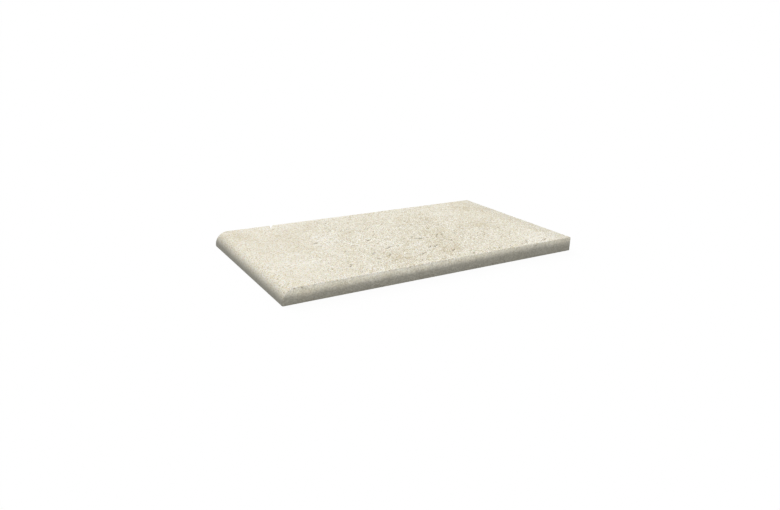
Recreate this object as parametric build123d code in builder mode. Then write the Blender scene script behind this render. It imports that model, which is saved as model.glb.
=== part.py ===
"""Clinker window sill tile.

One pressed and fired ceramic piece.  It lies flat on a mortar bed at the foot
of a window, with its long side running from the window out over the wall.  The
short front edge is a rounded nose that water runs off.  The other three edges
are straight, because they meet the next tile, or the window frame, at a joint.

The part lies on its sole in the XY plane, with +Z up.  X runs along the tile,
with the nose at -X and the back edge at +X, and Y runs across it.  The origin
is the middle of the sole.
"""

import os

from build123d import *

# Driving dimensions, in millimetres and degrees
tile_length = 245.0  # from the front of the nose to the back edge
tile_width = 135.0  # across the nose
tile_thickness = 11.0
nose_land = 1.5  # upright strip under the quarter round of the nose
face_arris = 0.8  # rounding where the face meets the sides and the back
sole_arris = 0.4  # rounding round the edge of the sole
key_band = 30.0  # plain sole behind the nose, which overhangs the wall
key_border = 12.0  # least plain sole along the sides and the back
key_side = 18.0  # mouth of one square key in the sole
key_rib = 3.5  # rib between two keys
key_corner = 2.0  # corner radius of a key's mouth
key_depth = 0.8
key_draft = 30.0  # slope of a key's walls, so that the press can let go

# Sizes that follow from them
nose_front = -tile_length / 2
back_edge = tile_length / 2
nose_radius = tile_thickness - nose_land
key_pitch = key_side + key_rib
key_field_front = nose_front + key_band
key_field_back = back_edge - key_border
key_field_length = key_field_back - key_field_front
key_field_width = tile_width - 2 * key_border
key_columns = int((key_field_length + key_rib) // key_pitch)
key_rows = int((key_field_width + key_rib) // key_pitch)

with BuildPart() as sill_tile:
    # The section along the tile: a flat slab whose front rises in a short land
    # and then turns over into the face in one quarter round.
    with BuildSketch(Plane.XZ) as section:
        with BuildLine() as outline:
            sole_line = Line((back_edge, 0), (nose_front, 0))
            land_line = Line(sole_line @ 1, (nose_front, nose_land))
            nose_arc = TangentArc(
                land_line @ 1,
                (nose_front + nose_radius, tile_thickness),
                tangent=land_line % 1,
            )
            face_line = Line(nose_arc @ 1, (back_edge, tile_thickness))
            Line(face_line @ 1, sole_line @ 0)
        make_face()
    extrude(amount=tile_width / 2, both=True)

    # The pressed edges: one rounding runs along a side, over the end of the nose,
    # back along the other side and round the back.  The sole has a finer one.
    sole = sill_tile.faces().sort_by(Axis.Z)[0]
    nose_seams = (
        sill_tile.edges()
        .filter_by(Axis.Y)
        .filter_by_position(Axis.X, nose_front, nose_front + nose_radius)
    )
    fillet(sill_tile.edges() - sole.edges() - nose_seams, face_arris)
    fillet(sill_tile.faces().sort_by(Axis.Z)[0].edges(), sole_arris)

    # The keys: square hollows that the mortar grips, in rows behind the nose.
    with BuildSketch(Plane.XY) as keys:
        with Locations(((key_field_front + key_field_back) / 2, 0)):
            with GridLocations(key_pitch, key_pitch, key_columns, key_rows):
                RectangleRounded(key_side, key_side, key_corner)
    extrude(amount=key_depth, taper=key_draft, mode=Mode.SUBTRACT)

sill_tile.part.label = "sill_tile"

os.makedirs("parts", exist_ok=True)
export_step(sill_tile.part, "parts/sill_tile.step")
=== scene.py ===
import math
import random

import bmesh
import bpy
import numpy as np
from mathutils import Matrix, Vector, noise


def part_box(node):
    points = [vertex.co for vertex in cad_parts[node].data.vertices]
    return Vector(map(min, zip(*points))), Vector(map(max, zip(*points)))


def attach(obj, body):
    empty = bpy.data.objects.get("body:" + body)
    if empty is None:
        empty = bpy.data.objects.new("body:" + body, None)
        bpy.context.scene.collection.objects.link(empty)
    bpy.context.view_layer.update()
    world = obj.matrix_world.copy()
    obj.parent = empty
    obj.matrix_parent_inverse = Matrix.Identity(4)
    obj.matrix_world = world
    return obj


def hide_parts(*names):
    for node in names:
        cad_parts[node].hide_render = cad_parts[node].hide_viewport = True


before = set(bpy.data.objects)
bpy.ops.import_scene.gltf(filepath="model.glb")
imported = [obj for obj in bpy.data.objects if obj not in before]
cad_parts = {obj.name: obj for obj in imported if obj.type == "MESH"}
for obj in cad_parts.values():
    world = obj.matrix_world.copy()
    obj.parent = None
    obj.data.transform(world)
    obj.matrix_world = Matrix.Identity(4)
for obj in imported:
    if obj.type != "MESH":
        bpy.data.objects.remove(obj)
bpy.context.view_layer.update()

# The pressed body: one slab of clinker clay, pressed in a die and fired until it is dense.  A quarter
# round nose runs along the front, and a finer rounding along the other edges.  It is made here as
# sheets of small quads over the back, the face, the nose and the sides, welded where they meet.
MM = 0.001
tile_low, tile_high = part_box("sill_tile")
front, back, half_width, top = tile_low.x, tile_high.x, tile_high.y, tile_high.z
nose_land = 1.5 * MM
nose_radius = top - nose_land
face_arris = 0.8 * MM
sole_arris = 0.4 * MM
face_step = 0.7 * MM  # size of a quad on the face
side_rows = 10  # quads down a side
arris_rows = 3  # quads over the rounding of the face's edge
weld_gap = 0.001 * MM

sheets = []
sheet_quads = []


def spaced(start, stop, step):
    """Values from start to stop, evenly spaced at about this step."""
    return np.linspace(start, stop, round(abs(stop - start) / step) + 1)


def add_sheet(points):
    """Adds a grid of points, in rows and columns, as a sheet of quads."""
    rows, columns = points.shape[:2]
    first = sum(len(sheet) for sheet in sheets)
    index = first + np.arange(rows * columns).reshape(rows, columns)
    ring = (index[:-1, :-1], index[1:, :-1], index[1:, 1:], index[:-1, 1:])
    sheets.append(points.reshape(-1, 3))
    sheet_quads.append(np.stack(ring, -1).reshape(-1, 4))


def stretch(first, second, out_first, out_second):
    """One stretch of a flat outline: its points, each with the way out from it."""
    return np.stack(np.broadcast_arrays(first, second, out_first, out_second), -1)


quarter = np.linspace(0, math.pi / 2, arris_rows + 1)
nose_turn = spaced(0, math.pi / 2, face_step / nose_radius)
core_radius = nose_radius - face_arris  # the core lies one rounding inside the body
core_top = top - face_arris
core_back = back - face_arris
core_front = front + face_arris
core_half = half_width - face_arris
nose_axis = front + nose_radius
section = [
    stretch(core_back, np.linspace(sole_arris, core_top, side_rows + 1), 1, 0),
    stretch(core_back, core_top, np.cos(quarter), np.sin(quarter)),
    stretch(spaced(core_back, nose_axis, face_step), core_top, 0, 1),
    stretch(
        nose_axis - core_radius * np.sin(nose_turn),
        nose_land + core_radius * np.cos(nose_turn),
        -np.sin(nose_turn),
        np.cos(nose_turn),
    ),
    stretch(core_front, np.linspace(nose_land, sole_arris, side_rows + 1), -1, 0),
]
crown = np.concatenate(section[2:4])  # the stretches that a side hangs down from
section = np.concatenate(section)
core, outward = section[:, None, :2], section[:, None, 2:]

across = spaced(-core_half, core_half, face_step)[None, :, None]
over, across = np.broadcast_arrays(core + face_arris * outward, across)
add_sheet(np.stack([over[..., 0], across[..., 0], over[..., 1]], -1))
for hand in (-1, 1):
    arris_in = core + face_arris * outward * np.cos(quarter)[None, :, None]
    arris_y = hand * (core_half + face_arris * np.sin(quarter))[None, :]
    arris_y = np.broadcast_to(arris_y, arris_in.shape[:2])
    add_sheet(np.stack([arris_in[..., 0], arris_y, arris_in[..., 1]], -1))
    drop = np.linspace(0, 1, side_rows + 1)[None, :]
    side_z = crown[:, 1:2] * (1 - drop) + sole_arris * drop
    side_x = np.broadcast_to(crown[:, :1], side_z.shape)
    add_sheet(np.stack([side_x, np.full(side_z.shape, hand * half_width), side_z], -1))

# The foot: the fine rounding where the sides turn under into the sole, all the way round.  It is
# pressed with the body, and leaves no sharp lower edge that would chip.  Its sheet hangs from the
# sides, the nose and the back, and ends on the flat of the sole.
foot_rows = 2  # quads over the rounding
foot_x = crown[:, 0]
foot_y = spaced(-core_half, core_half, face_step)
foot_corner = []
for centre_x, centre_y, start in (
    (core_back, -core_half, 1.5 * math.pi),
    (core_back, core_half, 0),
    (core_front, core_half, 0.5 * math.pi),
    (core_front, -core_half, math.pi),
):
    turn = start + quarter
    corner_x = centre_x + face_arris * np.cos(turn)
    corner_y = centre_y + face_arris * np.sin(turn)
    foot_corner.append(stretch(corner_x, corner_y, np.cos(turn), np.sin(turn)))
foot = np.concatenate(
    [
        stretch(foot_x[::-1], -half_width, 0, -1),
        foot_corner[0],
        stretch(back, foot_y, 1, 0),
        foot_corner[1],
        stretch(foot_x, half_width, 0, 1),
        foot_corner[2],
        stretch(front, foot_y[::-1], -1, 0),
        foot_corner[3],
    ]
)
under = np.linspace(0, math.pi / 2, foot_rows + 1)[None, :, None]
foot_xy = foot[:, None, :2] - sole_arris * (1 - np.cos(under)) * foot[:, None, 2:]
foot_z = np.broadcast_to(sole_arris * (1 - np.sin(under)), foot_xy.shape[:2] + (1,))
add_sheet(np.concatenate([foot_xy, foot_z], -1))

body = bpy.data.meshes.new("sill_tile_body")
body.from_pydata(np.concatenate(sheets).tolist(), [], np.concatenate(sheet_quads).tolist())
clay = bmesh.new()
clay.from_mesh(body)
bmesh.ops.remove_doubles(clay, verts=clay.verts, dist=weld_gap)

# The keyed sole: rows of shallow square hollows that the mortar grips, with a plain band behind the
# nose, where the tile overhangs the wall.  They are pressed with the body, their walls sloped so
# that the die lets go.
key_band = 30 * MM
key_border = 12 * MM
key_side = 18 * MM
key_rib = 3.5 * MM
key_corner = 2 * MM
key_depth = 0.8 * MM
key_draft = math.radians(30)
key_corner_steps = 4
key_inset = key_depth * math.tan(key_draft)
key_pitch = key_side + key_rib
key_field = (front + key_band, back - key_border)
key_columns = int((key_field[1] - key_field[0] + key_rib) // key_pitch)
key_rows = int((2 * (half_width - key_border) + key_rib) // key_pitch)


def key_ring(x, y, z, inset):
    """Adds the corners of one rounded square of a key, at this height and this far in from its mouth."""
    straight = key_side / 2 - key_corner
    radius = key_corner - inset
    ring = []
    for quadrant in range(4):
        for step in range(key_corner_steps + 1):
            turn = (quadrant + step / key_corner_steps) * math.pi / 2
            middle = (quadrant + 0.5) * math.pi / 2
            ring_x = math.copysign(straight, math.cos(middle)) + radius * math.cos(turn)
            ring_y = math.copysign(straight, math.sin(middle)) + radius * math.sin(turn)
            ring.append(clay.verts.new((x + ring_x, y + ring_y, z)))
    return ring


for column in range(key_columns):
    for row in range(key_rows):
        key_x = sum(key_field) / 2 + (column - (key_columns - 1) / 2) * key_pitch
        key_y = (row - (key_rows - 1) / 2) * key_pitch
        mouth = key_ring(key_x, key_y, 0, 0)
        bottom = key_ring(key_x, key_y, key_depth, key_inset)
        for a in range(len(mouth)):
            clay.faces.new((mouth[a - 1], mouth[a], bottom[a], bottom[a - 1]))
        clay.faces.new(bottom)
rims = [edge for edge in clay.edges if edge.is_boundary]
bmesh.ops.triangle_fill(clay, use_beauty=True, edges=rims, normal=(0, 0, -1))
bmesh.ops.recalc_face_normals(clay, faces=clay.faces)
clay.normal_update()

# The clefts: short tears in the weathered limestone that the die for the face is cast from, so the
# clay has them too.  Each drops at a steep wall, painted with shade down to a strip at its foot, and rises
# again over a gentle slope with a painted highlight near the wall.
# The large ones lie where the photograph shows them, and the small ones are strewn between.
cleft_spots = [
    # millimetres behind the nose, millimetres from the left side, length, heading in degrees
    (58, 76, 6, 30),
    (97, 65, 7, 19),
    (95, 73, 3, 15),
    (102, 43, 10, 30),
    (94, 28, 8, 52),
    (58, 20, 6, 36),
    (131, 57, 5, 60),
    (135, 52, 9, -8),
    (130, 31, 5, 23),
    (136, 31, 8, 30),
    (155, 37, 4, 50),
    (152, 53, 4, 30),
    (142, 17, 9, 39),
    (117, 20, 5, 25),
    (85, 36, 7, 37),
    (83, 24, 4, -30),
    (169, 52, 4, 35),
    (185, 43, 3, 5),
    (198, 57, 3, 0),
    (222, 6, 5, 15),
]
cleft_wall = 0.6 * MM  # across the steep far wall
cleft_ramp = 2.8 * MM  # across the gentle near slope
cleft_depth = 0.65 * MM
cleft_full = 5  # millimetres: a cleft that is shorter is also less deep
cleft_wander = 0.25 * MM
cleft_wander_size = 2.5 * MM
wall_shade_band = 0.7 * MM  # width of the painted shade strip at the foot of the wall
ramp_highlight_band = (1.4 * MM, 0.8 * MM)  # below the wall, where the slope is all painted highlight and where that ends
small_clefts = 225
small_cleft_start = (45, 3)  # millimetres behind the nose and from the left side
small_cleft_field = (175, 122)  # millimetres
small_cleft_crowding = 1.4  # above 1, more of them lie on the left
small_cleft_lengths = (1.2, 3.6)
small_cleft_headings = (5, 48)
draw = random.Random(11)
for _ in range(small_clefts):
    spot_x = small_cleft_start[0] + small_cleft_field[0] * draw.random()
    spot_y = small_cleft_start[1] + small_cleft_field[1] * draw.random() ** small_cleft_crowding
    spot_length = draw.uniform(*small_cleft_lengths)
    cleft_spots.append((spot_x, spot_y, spot_length, draw.uniform(*small_cleft_headings)))

rest = np.array([vertex.co for vertex in clay.verts])
facing = np.array([vertex.normal for vertex in clay.verts])
rest_x, rest_y, rest_z = rest.T
facing_x, facing_y, facing_z = facing.T


def noise_over(size, seed):
    """Smooth noise from about -1 to 1 at each point of the tile, with features of this size."""
    return np.array([noise.noise(Vector(spot)) for spot in rest / size + seed])


def smooth(value, low, high):
    """0 below low, 1 above high, and an even curve between."""
    share = np.clip((value - low) / (high - low), 0, 1)
    return share * share * (3 - 2 * share)


def turned(dx, dy, heading):
    """Distances along a line with this heading in degrees, and to the left of it."""
    cosine, sine = math.cos(math.radians(heading)), math.sin(math.radians(heading))
    return dx * cosine + dy * sine, dy * cosine - dx * sine


wander_x = cleft_wander * noise_over(cleft_wander_size, seed=5)
wander_y = cleft_wander * noise_over(cleft_wander_size, seed=25)
cleft = np.zeros(len(rest))
wall_shade = np.zeros(len(rest))
ramp_highlight = np.zeros(len(rest))
for spot_x, spot_y, length, heading in cleft_spots:
    dx = rest_x + wander_x - (front + spot_x * MM)
    dy = rest_y + wander_y - (spot_y * MM - half_width)
    run, rise = turned(dx, dy, heading)
    ends = np.clip(1 - (run / (length * MM / 2)) ** 4, 0, 1)
    wall = np.where(rise > 0, 1 - rise / cleft_wall, 1 + rise / cleft_ramp)
    depth = np.clip(wall, 0, 1) * ends * min(1, length / cleft_full)
    cleft = np.maximum(cleft, depth)
    wall_shade = np.maximum(wall_shade, depth * smooth(rise, -wall_shade_band, 0))
    ramp_highlight = np.maximum(ramp_highlight, depth * (1 - smooth(rise, -ramp_highlight_band[0], -ramp_highlight_band[1])))

# The stone relief: the rest of what the die takes from the limestone, as swells, knapped hollows, picked
# grain and low ledges in the clay of the face and nose.  It is rougher over the middle than near the nose,
# and calm along the long edges.  The sides come off smooth steel and are only slightly uneven.
face_turn = (0.5, 0.95)  # the face ends where the surface turns aside or down by this much
foot_clear = (0.5 * MM, 2.5 * MM)  # heights between which the relief comes in above the foot
footing = smooth(rest_z, *foot_clear)
sideways = np.maximum(np.abs(facing_y), facing_x)
on_face = 1 - smooth(np.maximum(sideways, -facing_z), *face_turn)

rough_slant = 0.25  # the smooth part reaches further back on the right
rough_wander = 35 * MM
rough_wander_size = 24 * MM
rough_rise = (5 * MM, 85 * MM)  # behind the nose
rough_back = 0.4  # how much of it goes again towards the back
rough_back_way = (back - 80 * MM, back - 20 * MM)
rough_right = 0.25  # and towards the right
rough_right_way = (10 * MM, 60 * MM)
rough_way = rest_x - front - rough_slant * (rest_y + half_width)
rough = smooth(rough_way + rough_wander * noise_over(rough_wander_size, seed=8), *rough_rise)
rough *= 1 - rough_back * smooth(rest_x, *rough_back_way)
rough *= 1 - rough_right * smooth(rest_y, *rough_right_way)

swell_size = 36 * MM
swell_depth = 0.06 * MM
knap_size = 4.2 * MM
knap_crest = -0.2  # the ground between the hollows is cut off flat here
knap_depth = (0.08 * MM, 0.15 * MM)  # everywhere, and as much more where the stone is rough
pick_size = 1.7 * MM
pick_depth = (0.04 * MM, 0.11 * MM)
ledge_size = 8 * MM
ledge_drop = 0.15  # a small value makes a ledge steep
ledge_field = 6 * MM
ledge_level = 0.3
ledge_swing = 1.4
ledge_depth = 0.22 * MM
calm_share = 0.7
calm_band = (half_width - 5 * MM, half_width - 0.5 * MM)
knapped = np.clip(noise_over(knap_size, seed=13), knap_crest, 1)
picked = noise_over(pick_size, seed=17)
ledges = np.clip(ledge_level + ledge_swing * noise_over(ledge_field, seed=67), 0, 1)
ledges *= smooth(noise_over(ledge_size, seed=61), 0, ledge_drop)
relief = swell_depth * noise_over(swell_size, seed=2)
relief += (knap_depth[0] + knap_depth[1] * rough) * knapped
relief += (pick_depth[0] + pick_depth[1] * rough) * picked
relief += ledge_depth * rough * ledges
relief *= 1 - calm_share * smooth(np.abs(rest_y), *calm_band)
relief += cleft_depth * cleft

# The edges: the clay along the rim of the face, pressed where the die wears most, so the fired arris is
# a little uneven.  On the front half the sides lean in towards it, where the clay has shrunk more on top.
side_knap = 0.05 * MM
side_pick = 0.06 * MM
shoulder_foot = 6 * MM  # the height where a side begins to lean in
shoulder_depth = 0.45 * MM
shoulder_fade = (-20 * MM, 90 * MM)
wear_lean = (0.15, 0.5)  # how much the surface faces sideways, and up, on the arris
wear_size = 2.6 * MM
wear_depth = 0.1 * MM
shoulder = smooth(rest_z, shoulder_foot, top) ** 2 * (1 - smooth(rest_x, *shoulder_fade))
side_relief = side_knap * knapped + side_pick * picked + shoulder_depth * shoulder
arris_band = smooth(np.abs(facing_y), *wear_lean) * smooth(facing_z, *wear_lean)
arris_wear = wear_depth * arris_band * np.clip(noise_over(wear_size, seed=31), 0, 1)
sunk = (on_face * relief + (1 - on_face) * side_relief + arris_wear) * footing

# The pits: a few small holes in the left side and its upper edge, where coarse grains have pulled out
# of the clay.  Each is a shallow bowl in the side, with painted shade in it.
pit_spots = [
    # millimetres behind the nose, height, half length, depth
    (8, 10.8, 1.2, 0.7),
    (13.5, 10.4, 1.0, 0.8),
    (16, 1.8, 1.0, 0.6),
    (64, 9.6, 0.9, 0.4),
    (97, 10.6, 1.1, 0.5),
    (151, 5, 0.8, 0.4),
    (191, 2.5, 0.9, 0.4),
    (208, 9.5, 1.1, 0.9),
]
pit_half_height = 0.8 * MM
pit_wander = 0.3  # share of the clefts' wander
pit_band = (half_width - 1.5 * MM, half_width - 0.5 * MM)
pit = np.zeros(len(rest))  # in millimetres
for spot_x, spot_z, length, depth in pit_spots:
    run = (rest_x + pit_wander * wander_x - (front + spot_x * MM)) / (length * MM)
    rise = (rest_z - spot_z * MM) / pit_half_height
    pit = np.maximum(pit, depth * np.clip(1 - run * run - rise * rise, 0, 1))
pit *= smooth(-rest_y, *pit_band)
moved = rest - facing * (sunk + pit * MM)[:, None]

# The nick: a splinter has broken out of the right-hand edge, a little behind the nose.  The quads beside
# it lean the way it runs, so that its walls come out clean.
nick_behind = 45.3 * MM
nick_lean = 0.38  # millimetres towards the nose for each millimetre in from the edge
nick_long = 9 * MM
nick_deep = 2.9 * MM
nick_across = [-1, 0, 1, 3]  # quads to each side of its deepest line
nick_depths = [0, 1, 0.9, 0]  # shares of its depth there
lean_inward = 36 * MM  # how far in from the edge the quads still lean
lean_aside = (3 * MM, 30 * MM)  # to each side of the nick, where they lean in full and where that ends
nick_x = min(foot_x, key=lambda x: abs(x - front - nick_behind))
inward = half_width - rest_y
off_line = rest_x - nick_x
leaning = on_face * (1 - smooth(inward, nick_long, lean_inward))
leaning *= 1 - smooth(np.abs(off_line), *lean_aside)
moved[:, 0] -= nick_lean * np.minimum(inward, nick_long) * leaning
nick = np.interp(off_line / face_step, nick_across, nick_depths) * np.clip(1 - inward / nick_long, 0, 1)
moved[:, 2] *= 1 - nick_deep * nick / top

crease_angle = math.radians(50)  # a sharper edge than this is shaded as one
for vertex, spot in zip(clay.verts, moved):
    vertex.co = spot
clay.to_mesh(body)
clay.free()
body.shade_smooth()
body.set_sharp_from_angle(angle=crease_angle)
tile = bpy.data.objects.new("clinker_sill_tile", body)
bpy.context.scene.collection.objects.link(tile)

# The finish: a thin matt cream engobe, sprayed on the face and nose before firing, with sandy grains and
# tan clouds in it.  Down the nose and the sides it gives way to the greyer clinker colour towards the
# foot,
# and a little along the back edge: this darkening is painted shade.  Also painted are shade in the
# hollows, on the clefts' walls and in the pits, and highlights on the crests, the clefts' slopes and the
# tops of the sides.
# Its broad tones are values on the mesh, and its clouds and grains come from the material.
patch_spots = [
    # millimetres behind the nose, millimetres from the left side, half length, half width, heading in
    # degrees, and the tone: tan below 0, pale above it
    (46, 83, 19, 12, 80, -0.6),
    (13, 116, 15, 20, 0, -0.75),
    (8, 4, 16, 10, 0, -0.45),
    (70, 118, 18, 12, 0, -0.5),
    (142, 99, 9, 8, 0, -0.5),
    (151, 114, 9, 8, 0, -0.5),
    (171, 96, 12, 9, 45, -0.35),
    (152, 53, 26, 11, 55, -0.9),
    (138, 18, 18, 11, 0, -1.1),
    (200, 61, 15, 12, 30, -0.7),
    (93, 19, 17, 13, 20, -0.8),
    (69, 81, 20, 8, 50, 1.1),
    (27, 39, 22, 15, 0, 0.7),
    (76, 26, 15, 8, 70, 0.8),
    (122, 35, 14, 6, 75, 0.9),
    (103, 64, 12, 13, 0, 0.95),
    (193, 97, 16, 11, 70, 1.1),
    (218, 10, 17, 10, 20, 1.0),
    (169, 37, 13, 8, 30, 0.5),
    (127, 95, 12, 10, 0, 0.4),
    (225, 112, 11, 22, 0, -1.15),
]
patch_wander = 7 * MM
patch_wander_size = 13 * MM
edge_pale = 0.25  # the face is a little paler along its long edges
edge_band = (35 * MM, 60 * MM)  # from the middle line
# Painted highlight: the tops of the sides are paler where they lean in.
shoulder_highlight = 0.8
patch_x = rest_x - front + patch_wander * noise_over(patch_wander_size, seed=41)
patch_y = rest_y + half_width + patch_wander * noise_over(patch_wander_size, seed=47)
tone = np.zeros(len(rest))
for spot_x, spot_y, length, width, heading, strength in patch_spots:
    run, rise = turned(patch_x - spot_x * MM, patch_y - spot_y * MM, heading)
    tone += strength * np.exp(-((run / (length * MM)) ** 2) - (rise / (width * MM)) ** 2)
# Painted highlights join the tone: on the clefts' gentle slopes below their walls, and along the tops of
# the sides.
tone += ramp_highlight + edge_pale * smooth(np.abs(rest_y), *edge_band)
tone = on_face * tone + (1 - on_face) * shoulder_highlight * shoulder

# The sides are darker towards the foot: painted shade, given as engobe that thins out to the clinker
# colour.
spray_shade_edge = (4 * MM, 9.4 * MM)  # heights on a side between which the painted shade gives way to the engobe
spray_shade_least = 0.2  # share of it that reaches the foot
spray_shade_ragged = 0.4 * MM
spray_shade_ragged_size = 5 * MM
spray_shade_lift = 0.013  # how much higher its edge lies for each unit of length towards the back
spray_shade_middle = -30 * MM  # where that counts from
spray_shade_flat = 20 * MM  # further than this in front of there, the edge is level
spray_shade_start = 0.9 * MM  # the edge lies this much higher at the nose
spray_shade_bends = [
    # millimetres behind the nose where the edge begins to sink and where it stops, and how far it sinks
    (1, 11, 1.7),
    (12, 28, -0.8),
    (205, 240, 1.2),
]
spray_shade_thin = 0.13  # it is thinner on the back half, so the sides are painted darker there
spray_shade_thin_way = (20 * MM, 90 * MM)
spray_shade_sink = spray_shade_ragged * noise_over(spray_shade_ragged_size, seed=53) - spray_shade_start
spray_shade_sink -= spray_shade_lift * np.maximum(rest_x - spray_shade_middle, -spray_shade_flat)
for bend_start, bend_stop, bend_sink in spray_shade_bends:
    spray_shade_sink += bend_sink * MM * smooth(rest_x, front + bend_start * MM, front + bend_stop * MM)
overspray_and_painted_shade = spray_shade_least + (1 - spray_shade_least) * smooth(rest_z + spray_shade_sink, *spray_shade_edge)
overspray_and_painted_shade *= 1 - spray_shade_thin * smooth(rest_x, *spray_shade_thin_way)

nose_shade_cover = (0.05, 0.9)  # shares of the nose's height between which the painted shade gives way to the engobe
nose_bare_shade = 0.08  # it comes in higher by this share on the right
nose_bare_shade_way = (25 * MM, 55 * MM)
back_shade = 0.12  # painted shade along the back edge, where the engobe is thinner
back_shade_way = (back - 20 * MM, back - 4 * MM)
# The nose is also darker towards the foot, and the face a little along the back edge: painted shade.
nose_rise = np.where(rest_x < nose_axis, (rest_z - nose_land) / nose_radius, 1)
nose_rise -= nose_bare_shade * smooth(rest_y, *nose_bare_shade_way) * (nose_rise < 1)
engobe = on_face * smooth(nose_rise, *nose_shade_cover) + (1 - on_face) * overspray_and_painted_shade
engobe *= 1 - back_shade * smooth(rest_x, *back_shade_way)

pit_shade = 0.6  # painted shade, for each millimetre of a pit's depth
hollow_pick = 0.9  # how much the picked grain counts as hollow, or as crest below 0
hollow_knap = 0.4  # and the knapped ground
layers = {
    "engobe": engobe,
    "tone": tone,
    "bared": np.maximum(wall_shade * on_face, pit_shade * pit),
    "hollow": rough * np.clip(hollow_pick * picked + hollow_knap * knapped, -1, 1),
    "pressed": on_face,
    "rough": rough,
}
for name, value in layers.items():
    body.attributes.new(name, "FLOAT", "POINT").data.foreach_set("value", value.astype(np.float32))


class Socket:
    """An output of a node.  Arithmetic on it adds Math nodes to its tree."""

    def __init__(self, tree, output=None):
        self.tree = tree
        self.output = output

    def node(self, kind, settings, inputs, give=0):
        """Adds a node, sets it, fills or links its inputs, and returns one of its outputs."""
        made = self.tree.nodes.new(kind)
        for name, value in settings.items():
            if name == "stops":
                stops = made.color_ramp.elements  # one at 0 and one at 1 are there already
                for position, _ in value[1:-1]:
                    stops.new(position)
                for stop, (_, colour) in zip(stops, value):
                    stop.color = colour
            else:
                setattr(made, name, value)
        for name, value in inputs.items():
            if isinstance(value, Socket):
                self.tree.links.new(value.output, made.inputs[name])
            else:
                made.inputs[name].default_value = value
        return Socket(self.tree, made.outputs[give] if made.outputs else None)

    def math(self, operation, *values):
        """Adds one Math node."""
        return self.node("ShaderNodeMath", {"operation": operation}, dict(enumerate(values)))

    def __add__(self, other):
        return self.math("ADD", self, other)

    def __sub__(self, other):
        return self.math("SUBTRACT", self, other)

    def __rsub__(self, other):
        return self.math("SUBTRACT", other, self)

    def __mul__(self, other):
        return self.math("MULTIPLY", self, other)

    __radd__ = __add__
    __rmul__ = __mul__

    def level(self, low, high):
        """A value from low, where this value is 0, to high, where it is 1."""
        return low + (high - low) * self

    def between(self, low, high):
        """0 below low, 1 above high, and an even curve between."""
        levels = {"Value": self, "From Min": low, "From Max": high}
        return self.node("ShaderNodeMapRange", {"interpolation_type": "SMOOTHSTEP"}, levels)

    def mix(self, first, second):
        """A colour from first, where this value is 0, to second, where it is 1."""
        return self.node("ShaderNodeMix", {"data_type": "RGBA"}, {0: self, 6: first, 7: second}, 2)

    def times(self, tint, share=1):
        """This colour, with a share of it multiplied by a tint or a grey level."""
        settings = {"data_type": "RGBA", "blend_type": "MULTIPLY"}
        return self.node("ShaderNodeMix", settings, {0: share, 6: self, 7: tint}, 2)

    def cloud(self, size, detail=2.0, rough=0.5):
        """Noise from 0 to 1 over these coordinates, with features of this size."""
        inputs = {"Vector": self, "Scale": 1 / size, "Detail": detail, "Roughness": rough}
        return self.node("ShaderNodeTexNoise", {}, inputs)

    def cells(self, size, give):
        """Cells of this size over these coordinates: random colours, or how far their middles are."""
        return self.node("ShaderNodeTexVoronoi", {}, {"Vector": self, "Scale": 1 / size}, give)

    def grains(self, size):
        """Three random values for each grain of this size."""
        split = self.node("ShaderNodeSeparateColor", {}, {"Color": self.cells(size, "Color")})
        return [Socket(self.tree, value) for value in split.output.node.outputs]


def paint(red, green, blue):
    """A colour given in the 0 to 255 of a screen, as the shader takes it."""
    levels = [level / 255 for level in (red, green, blue)]
    linear = [c / 12.92 if c < 0.04045 else ((c + 0.055) / 1.055) ** 2.4 for c in levels]
    return (*linear, 1)


cream_plain = paint(234, 229, 213)
cream_tan = paint(200, 187, 158)
cream_pale_and_highlight = paint(251, 249, 241)
cloud_size = 16 * MM
mottle_size = 5 * MM
mottle_share = 0.4
cloud_middle = 0.7
cloud_share = 1.6
patch_share = 0.75
mood_range = (-0.1, 1)  # where a mood begins to show, and shows in full


def clouded_cream(place, patch_and_highlight):
    """The engobe's plain cream, with tan and pale clouds in it, and the painted highlights that the tone
    carries.
    """
    clouds = place.cloud(cloud_size, detail=3, rough=0.6) + mottle_share * place.cloud(mottle_size)
    mood = patch_share * patch_and_highlight + cloud_share * (clouds - cloud_middle)
    cream = (0 - mood).between(*mood_range).mix(cream_plain, cream_tan)
    return mood.between(*mood_range).mix(cream, cream_pale_and_highlight)


sand_size = 0.6 * MM
sand_stops = [
    (0.0, paint(176, 158, 120)),
    (0.12, paint(203, 188, 156)),
    (0.35, paint(228, 220, 200)),
    (0.70, paint(236, 232, 219)),
    (1.0, paint(248, 248, 244)),
]
sand_share = (0.2, 0.6)  # on the sides, and on the face
sand_hue_range = (0.45, 1)
sand_yellow = (1.0, 0.98, 0.76, 1)
sand_blue = (1.0, 1.02, 1.20, 1)
fleck_brown = paint(172, 152, 116)
fleck_range = (0.88, 0.95)  # only a few of the grains are flecks
fleck_field = 7 * MM
fleck_field_range = (0.4, 0.65)
fleck_share = (0.25, 0.85)  # outside its fields, and in them
fleck_sides = (0.3, 1)  # on the sides, and on the face


def sanded_cream(cream, place, pressed, sand_grains):
    """The cream with its grains of sand, a few of them brown."""
    sand, sand_hue, sand_pick = sand_grains
    sanded = pressed.level(*sand_share)
    sand_colour = place.node("ShaderNodeValToRGB", {"stops": sand_stops}, {"Fac": sand})
    cream = sanded.mix(cream, sand_colour)
    cream = cream.times(sand_yellow, sand_hue.between(*sand_hue_range) * sanded)
    cream = cream.times(sand_blue, (1 - sand_hue).between(*sand_hue_range) * sanded)
    flecked = place.cloud(fleck_field).between(*fleck_field_range)
    fleck = sand_pick.between(*fleck_range) * flecked.level(*fleck_share) * pressed.level(*fleck_sides)
    return fleck.mix(cream, fleck_brown)


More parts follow.
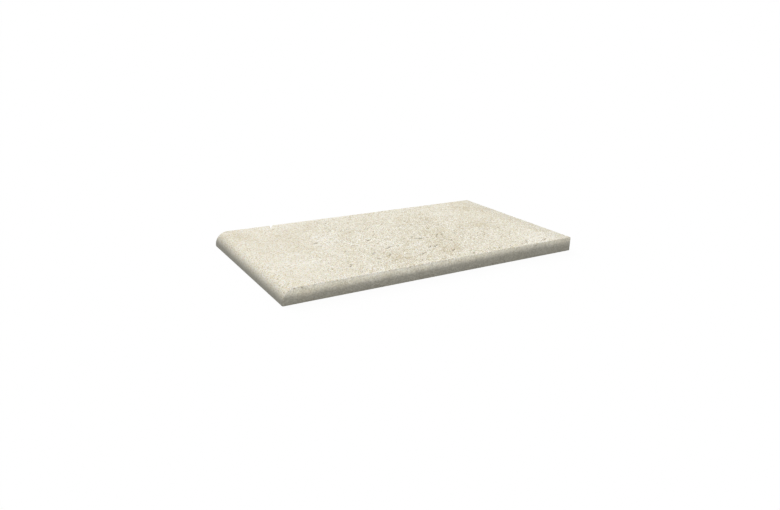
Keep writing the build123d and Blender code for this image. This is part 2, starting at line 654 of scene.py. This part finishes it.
# Painted shade, tan, in the hollows of the relief, and painted highlight on its crests.
hollow_shade_tan = paint(194, 178, 142)
crest_highlight = paint(249, 249, 240)
hollow_range = (0.05, 0.6)
hollow_share = 0.15
grit_size = 0.5 * MM
grit_share = (0.3, 0.96)  # where the face is smooth, and where it is rough
grit_light = (1.22, 1.26, 1.32, 1)
grit_brown = (0.44, 0.37, 0.25, 1)
grit_hue_range = (0.4, 1)
grit_red = (1.10, 0.95, 1.0, 1)
grit_green = (0.91, 1.05, 1.0, 1)
# Painted shade, dark brown, on the clefts' walls and in the pits.
shade_brown = paint(108, 96, 72)
shade_grit = (0.6, 1.4)  # the grit makes the edge of a painted shade spot ragged
shade_range = (0.1, 0.75)
shade_share = 0.85
side_warm = (1.0, 0.995, 0.965, 1)
side_warm_range = (0.5, 1)


def gritty_cream(cream, place, engobe_and_shade, bared, hollow, pressed, rough):
    """The cream with painted shade in its hollows, on its clefts' walls and in its pits, painted highlight
    on its crests, and its coarse grit.
    """
    cream = (hollow_share * hollow.between(*hollow_range)).mix(cream, hollow_shade_tan)
    cream = (hollow_share * (0 - hollow).between(*hollow_range)).mix(cream, crest_highlight)
    grit, grit_hue, _ = place.grains(grit_size)
    gritty = rough.level(*grit_share) * pressed
    sanded = pressed.level(*sand_share)
    cream = cream.times(grit_light, gritty).times(grit_brown, gritty * grit * grit)
    cream = cream.times(grit_red, grit_hue.between(*grit_hue_range) * sanded)
    cream = cream.times(grit_green, (1 - grit_hue).between(*grit_hue_range) * sanded)
    ragged = (bared * grit.level(*shade_grit)).between(*shade_range)
    cream = (shade_share * ragged).mix(cream, shade_brown)
    return cream.times(side_warm, (1 - pressed) * engobe_and_shade.between(*side_warm_range))


# The clinker body's grey-beige, which here paints the shade towards the foot of the nose and sides.
body_shade_grey = paint(137, 135, 125)
body_shade_light = paint(142, 140, 130)
body_cloud_size = 9 * MM
body_cloud_range = (0.3, 0.7)
body_sand = paint(160, 158, 147)
body_sand_share = 0.4
body_speck = paint(118, 106, 86)
body_speck_size = 1.2 * MM
body_speck_range = (0.58, 0.68)
body_speck_share = 0.6


def body_shade_colour(place, sand):
    """The grey-beige clinker colour, with sand and brown specks in it, that paints the shade low on the
    nose and sides.
    """
    clinker = place.cloud(body_cloud_size, detail=3, rough=0.6).between(*body_cloud_range)
    clinker = (body_sand_share * sand).mix(clinker.mix(body_shade_grey, body_shade_light), body_sand)
    speck = place.cloud(body_speck_size, rough=0.7).between(*body_speck_range)
    return (body_speck_share * speck).mix(clinker, body_speck)


stone_size = 0.9 * MM
stone_shade = (0.15, -0.15)  # the coarse grains of the sides are lighter or darker by this
matt_range = (0.95, 0.75)  # roughness, from grain to grain
sheen = 0.3
fine_size = 0.5 * MM
fine_share = 0.4
dome_size = 0.75 * MM
dome_share = 0.4
cavity_size = 1.1 * MM
cavity_share = 1.2
grain_share = (0.3, 1.2)  # where the face is smooth, and where it is rough
grain_height = 0.3 * MM
grain_strength = 0.7


def clinker_finish():
    """The tile's one material: cream engobe over a grey-beige clinker body, with painted shade and painted
    highlights in its colour.
    """
    material = bpy.data.materials.new("clinker")
    material.use_nodes = True
    material.node_tree.nodes.clear()
    start = Socket(material.node_tree)
    place = start.node("ShaderNodeTexCoord", {}, {}, "Object")
    engobe_and_shade, patch_and_highlight, bared, hollow, pressed, rough = [
        start.node("ShaderNodeAttribute", {"attribute_name": name}, {}, "Fac") for name in layers
    ]
    sand_grains = place.grains(sand_size)
    sand = sand_grains[0]
    cream = sanded_cream(clouded_cream(place, patch_and_highlight), place, pressed, sand_grains)
    cream = gritty_cream(cream, place, engobe_and_shade, bared, hollow, pressed, rough)
    stone, _, _ = place.grains(stone_size)
    # Painted shade: where the engobe mask falls off, down the nose and sides and along the back edge, the
    # grey-beige shows.
    colour = engobe_and_shade.mix(body_shade_colour(place, sand), cream)
    colour = colour.times(1 + (1 - pressed) * stone.level(*stone_shade))

    fine = place.cloud(fine_size, detail=3, rough=0.65)
    domes = 1 - place.cells(dome_size, "Distance")
    cavity = place.cloud(cavity_size, rough=0.6)
    grain = fine_share * fine + dome_share * domes + cavity_share * cavity
    grain_inputs = {"Strength": grain_strength, "Distance": grain_height}
    grain_inputs["Height"] = grain * rough.level(*grain_share)
    shader = start.node(
        "ShaderNodeBsdfPrincipled",
        {},
        {
            "Base Color": colour,
            "Roughness": sand.level(*matt_range),
            "Specular IOR Level": sheen,
            "Normal": start.node("ShaderNodeBump", {}, grain_inputs),
        },
    )
    start.node("ShaderNodeOutputMaterial", {}, {"Surface": shader})
    return material


body.materials.append(clinker_finish())
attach(tile, "root")
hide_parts("sill_tile")

# The floor: a plain pale sheet that the tile lies on.  The camera sees it nearly white, with a faint
# shadow, while for the light it is an ordinary pale surface.
floor_half = 60.0  # metres, so that its edge lies far beyond the picture
floor_glow = 0.95  # how much of what the camera sees of it is plain white
floor_pale = (0.85, 0.85, 0.85, 1)
white = (1, 1, 1, 1)
floor_mesh = bpy.data.meshes.new("floor")
floor_corners = [(-floor_half, -floor_half, 0), (floor_half, -floor_half, 0)]
floor_corners += [(floor_half, floor_half, 0), (-floor_half, floor_half, 0)]
floor_mesh.from_pydata(floor_corners, [], [(0, 1, 2, 3)])
floor = bpy.data.objects.new("floor", floor_mesh)
bpy.context.scene.collection.objects.link(floor)


def seen_directly(start):
    """1 for rays from the camera, and for those that come by a mirror or through glass."""
    path = start.node("ShaderNodeLightPath", {}, {}, "Is Camera Ray")
    rays = path.output.node.outputs
    seen = path.math("MAXIMUM", path, Socket(path.tree, rays["Is Glossy Ray"]))
    return path.math("MAXIMUM", seen, Socket(path.tree, rays["Is Transmission Ray"]))


def floor_finish():
    """A pale matt sheet that looks nearly white."""
    material = bpy.data.materials.new("pale_floor")
    material.use_nodes = True
    material.node_tree.nodes.clear()
    start = Socket(material.node_tree)
    seen = seen_directly(start)
    matt = start.node("ShaderNodeBsdfDiffuse", {}, {"Color": seen.mix(floor_pale, white)})
    glow = start.node("ShaderNodeEmission", {}, {"Color": white, "Strength": 1})
    surface = start.node("ShaderNodeMixShader", {}, {0: floor_glow * seen, 1: matt, 2: glow})
    start.node("ShaderNodeOutputMaterial", {}, {"Surface": surface})
    return material


floor_mesh.materials.append(floor_finish())

# The light: a bright even studio, and one large soft lamp high behind the tile, so that the hollows of
# the face show and the near side lies in soft shade.
room_level = 0.68
backdrop_level = 1
lamp_level = 1.55
lamp_spread = math.radians(40)
lamp_way = Vector((-0.1, 0.75, 0.66)).normalized()
studio = bpy.data.worlds.new("studio")
studio.use_nodes = True
studio.node_tree.nodes.clear()
bpy.context.scene.world = studio
studio_start = Socket(studio.node_tree)
room = studio_start.node("ShaderNodeBackground", {}, {"Color": white, "Strength": room_level})
backdrop = studio_start.node("ShaderNodeBackground", {}, {"Color": white, "Strength": backdrop_level})
studio_parts = {0: seen_directly(studio_start), 1: room, 2: backdrop}
studio_light = studio_start.node("ShaderNodeMixShader", {}, studio_parts)
studio_start.node("ShaderNodeOutputWorld", {}, {"Surface": studio_light})

lamp_data = bpy.data.lights.new("soft_lamp", "SUN")
lamp_data.angle = lamp_spread
lamp_data.energy = lamp_level
lamp = bpy.data.objects.new("soft_lamp", lamp_data)
lamp.location = lamp_way
lamp.rotation_euler = lamp_way.to_track_quat("Z", "Y").to_euler()
bpy.context.scene.collection.objects.link(lamp)

# The camera: it looks along the tile from beyond the near corner of the nose, a little above it.  Its
# place, its lens and its slight roll are those at which the tile's edges lie as in the photograph.
camera_azimuth = math.radians(-31.653)
camera_elevation = math.radians(18.763)
camera_roll = math.radians(1.565)
camera_distance = 515.51 * MM
camera_slide = (-3.978 * MM, -10.606 * MM)  # to the right and up, in the picture
camera_data = bpy.data.cameras.new("camera")
camera_data.sensor_width = 36  # millimetres
camera_data.lens = 30.234  # millimetres
camera = bpy.data.objects.new("camera", camera_data)
bpy.context.scene.collection.objects.link(camera)
bpy.context.scene.camera = camera
aim = Vector((0, 0, top / 2))
level = math.cos(camera_elevation)
backward_x = math.sin(camera_azimuth) * level
backward_y = -math.cos(camera_azimuth) * level
backward = Vector((backward_x, backward_y, math.sin(camera_elevation)))
flat_right = Vector((0, 0, 1)).cross(backward).normalized()
flat_up = backward.cross(flat_right)
right = flat_right * math.cos(camera_roll) + flat_up * math.sin(camera_roll)
up = flat_up * math.cos(camera_roll) - flat_right * math.sin(camera_roll)
stand = aim + backward * camera_distance + right * camera_slide[0] + up * camera_slide[1]
camera.matrix_world = Matrix.Translation(stand) @ Matrix((right, up, backward)).transposed().to_4x4()

bpy.context.scene.view_settings.view_transform = "Standard"
